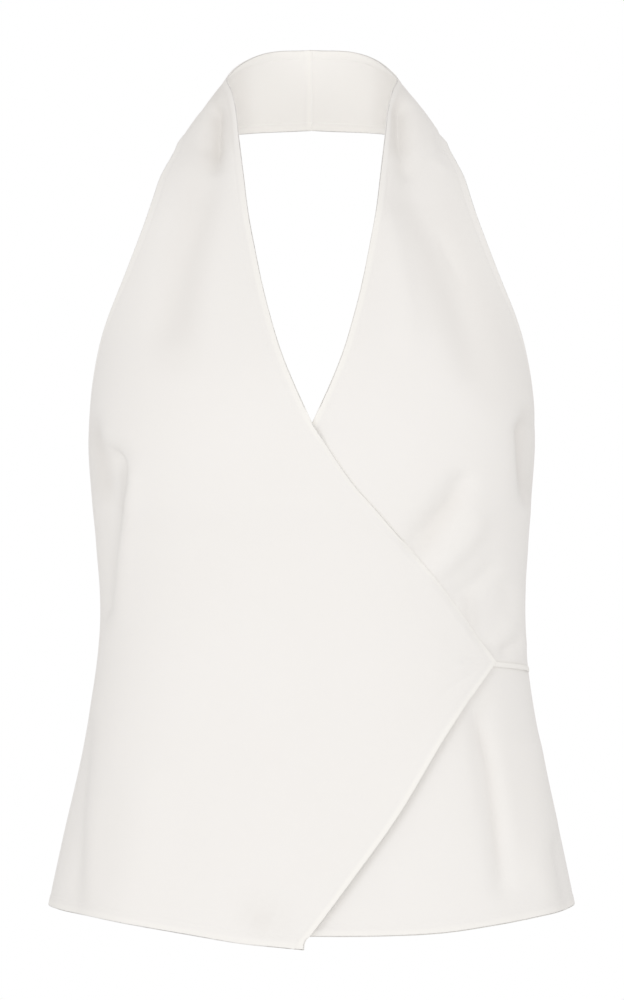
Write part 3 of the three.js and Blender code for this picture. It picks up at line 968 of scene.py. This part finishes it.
def add_world(strength):
    """A white surround that lights the top evenly, and shows as pure white behind it."""
    world = bpy.data.worlds.new("white_surround")
    bpy.context.scene.world = world
    world.use_nodes = True
    tree = world.node_tree
    tree.nodes.clear()
    seen = node(tree, "ShaderNodeLightPath").outputs["Is Camera Ray"]
    lit = node(tree, "ShaderNodeBackground", {"Color": (1, 0.985, 0.982, 1), "Strength": strength})
    shown = node(tree, "ShaderNodeBackground", {"Color": (1, 1, 1, 1), "Strength": 1.0})
    both = node(tree, "ShaderNodeMixShader", {0: seen, 1: lit.outputs[0], 2: shown.outputs[0]})
    node(tree, "ShaderNodeOutputWorld", {"Surface": both.outputs[0]})


def add_camera(settings):
    """The camera, level with the middle of the top, looking at its front."""
    seam_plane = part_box("back_panel")[0].y
    data = bpy.data.cameras.new("camera")
    data.sensor_width = 36
    data.lens = data.sensor_width * settings.camera_distance / settings.picture_height
    camera = bpy.data.objects.new("camera", data)
    camera.location = (0, seam_plane - settings.camera_distance, -NAPE_HEIGHT * MM)
    camera.rotation_euler = (math.pi / 2, 0, 0)
    bpy.context.scene.collection.objects.link(camera)
    bpy.context.scene.camera = camera


# The add-on


class TopClothSettings(PropertyGroup):
    """What the cloth is and how its edges are finished."""

    thickness: FloatProperty(
        name="Thickness", description="Thickness of the cloth", default=0.0006, precision=4, unit="LENGTH"
    )
    edge_turning: FloatProperty(
        name="Edge turning",
        description="How far from a neckline, wrap or armhole edge its turning is caught down",
        default=0.0065,
        precision=4,
        unit="LENGTH",
    )
    hem_turning: FloatProperty(
        name="Hem turning",
        description="How deep the hem is turned up",
        default=0.0085,
        precision=4,
        unit="LENGTH",
    )
    crease: FloatProperty(
        name="Crease",
        description="How strong the small uneven waves of the cloth are",
        default=1.0,
        subtype="FACTOR",
        min=0,
        max=2,
    )
    thread: FloatProperty(
        name="Thread",
        description="Distance between two threads",
        default=0.00045,
        precision=5,
        unit="LENGTH",
    )
    colour: FloatVectorProperty(
        name="Colour", description="Main tone of the cloth", default=(0.91, 0.896, 0.87), subtype="COLOR"
    )
    colour_deep: FloatVectorProperty(
        name="Deep colour",
        description="Second tone, where the cloth is a little warmer",
        default=(0.89, 0.872, 0.84),
        subtype="COLOR",
    )
    # The lighter colour: doubled cloth, with painted highlights on the edges and the strap, and painted
    # light on the inside
    colour_light: FloatVectorProperty(
        name="Light colour",
        description="Tone of turned edges and of the inside",
        default=(0.94, 0.925, 0.885),
        subtype="COLOR",
    )
    # The colour of the painted shade in the folds and beside the over front's skirt edge
    colour_fold_shade: FloatVectorProperty(
        name="Fold colour",
        description="Tone deep in the folds",
        default=(0.785, 0.76, 0.725),
        subtype="COLOR",
    )
    sheen: FloatProperty(
        name="Sheen",
        description="Soft gloss at a grazing angle",
        default=0.08,
        subtype="FACTOR",
        min=0,
        max=1,
    )


class TopStageSettings(PropertyGroup):
    """The floor, the light and the camera."""

    floor_drop: FloatProperty(
        name="Floor drop", description="How far the floor is below the nape", default=1.0, unit="LENGTH"
    )
    floor_radius: FloatProperty(
        name="Floor radius", description="Radius of the round floor", default=1.3, unit="LENGTH"
    )
    floor_colour: FloatVectorProperty(
        name="Floor colour", description="Colour of the floor", default=(0.9, 0.9, 0.9), subtype="COLOR"
    )
    surround: FloatProperty(
        name="Surround", description="Strength of the white surround's light", default=0.77, min=0
    )
    front_power: FloatProperty(
        name="Front light", description="Power of the soft light in front", default=12.9, unit="POWER"
    )
    neck_power: FloatProperty(
        name="Neck light",
        description="Power of the small light inside the neckband",
        default=0.013,
        unit="POWER",
    )
    left_power: FloatProperty(
        name="Left light", description="Power of the soft light on the left", default=5.6, unit="POWER"
    )
    right_power: FloatProperty(
        name="Right light", description="Power of the soft light on the right", default=4.4, unit="POWER"
    )
    camera_distance: FloatProperty(
        name="Camera distance",
        description="Distance from the camera to the side seams",
        default=2.6,
        unit="LENGTH",
    )
    picture_height: FloatProperty(
        name="Picture height",
        description="Height of what the picture takes in at the side seams",
        default=0.74,
        unit="LENGTH",
    )


class TopFrontsOperator(Operator):
    """Make the two fronts, which wrap over each other and meet at the nape."""

    bl_idname = "halter_top.fronts"
    bl_label = "Wrap fronts"

    def execute(self, context):
        settings = context.scene.halter_top_cloth
        material = shared_cloth(settings)
        under_mesh = front_mesh("left_front", False, settings)
        under = finished_piece("left_front", under_mesh, material, "front_under")
        over_mesh = front_mesh("right_front", True, settings)
        over = finished_piece("right_front", over_mesh, material, "front_over")
        return {"FINISHED"}


class TopBackOperator(Operator):
    """Make the low back panel, sewn to the fronts at the side seams."""

    bl_idname = "halter_top.back"
    bl_label = "Back panel"

    def execute(self, context):
        settings = context.scene.halter_top_cloth
        back = finished_piece("back", back_mesh("back", settings), shared_cloth(settings), "back_panel")
        return {"FINISHED"}


class TopStrapOperator(Operator):
    """Make the strap that holds the wrap's corner at the side seam."""

    bl_idname = "halter_top.strap"
    bl_label = "Waist strap"

    def execute(self, context):
        settings = context.scene.halter_top_cloth
        strap = finished_piece("strap", strap_mesh("strap"), shared_cloth(settings), "waist_strap")
        return {"FINISHED"}


class TopStageOperator(Operator):
    """Make the floor, the lights, the white surround and the camera."""

    bl_idname = "halter_top.stage"
    bl_label = "Stage"

    def execute(self, context):
        settings = context.scene.halter_top_stage
        context.scene.view_settings.view_transform = "Standard"
        add_floor(settings)
        add_world(settings.surround)
        level = -NAPE_HEIGHT * MM
        middle = (0, -0.06, level)
        add_soft_light("front_light", (0, -3.0, level), middle, 1.0, settings.front_power)
        add_soft_light("left_light", (-2.0, -2.2, level), middle, 1.0, settings.left_power)
        add_soft_light("right_light", (2.0, -2.2, level), middle, 1.0, settings.right_power)
        add_soft_light("neck_light", (0, -0.1, -0.05), (0, 0.0, -0.02), 0.07, settings.neck_power)
        add_camera(settings)
        return {"FINISHED"}


class TopPanel(Panel):
    """The steps that build the top, in order, and what a user can change."""

    bl_idname = "VIEW3D_PT_halter_top"
    bl_label = "Halter neck top"
    bl_space_type = "VIEW_3D"
    bl_region_type = "UI"
    bl_category = "Top"

    def draw(self, context):
        for operator in OPERATORS:
            self.layout.operator(operator.bl_idname)
        for settings in (context.scene.halter_top_cloth, context.scene.halter_top_stage):
            for name in settings.__annotations__:
                self.layout.prop(settings, name)


OPERATORS = (TopStageOperator, TopFrontsOperator, TopBackOperator, TopStrapOperator)
CLASSES = (TopClothSettings, TopStageSettings, *OPERATORS, TopPanel)


def register():
    """Registers the classes and the settings."""
    for cls in CLASSES:
        bpy.utils.register_class(cls)
    bpy.types.Scene.halter_top_cloth = PointerProperty(type=TopClothSettings)
    bpy.types.Scene.halter_top_stage = PointerProperty(type=TopStageSettings)


def unregister():
    """Removes them again."""
    del bpy.types.Scene.halter_top_stage
    del bpy.types.Scene.halter_top_cloth
    for cls in reversed(CLASSES):
        bpy.utils.unregister_class(cls)


def main():
    """Builds the whole scene."""
    register()
    bpy.ops.halter_top.stage()
    bpy.ops.halter_top.fronts()
    bpy.ops.halter_top.back()
    bpy.ops.halter_top.strap()


if __name__ == "__main__":
    main()
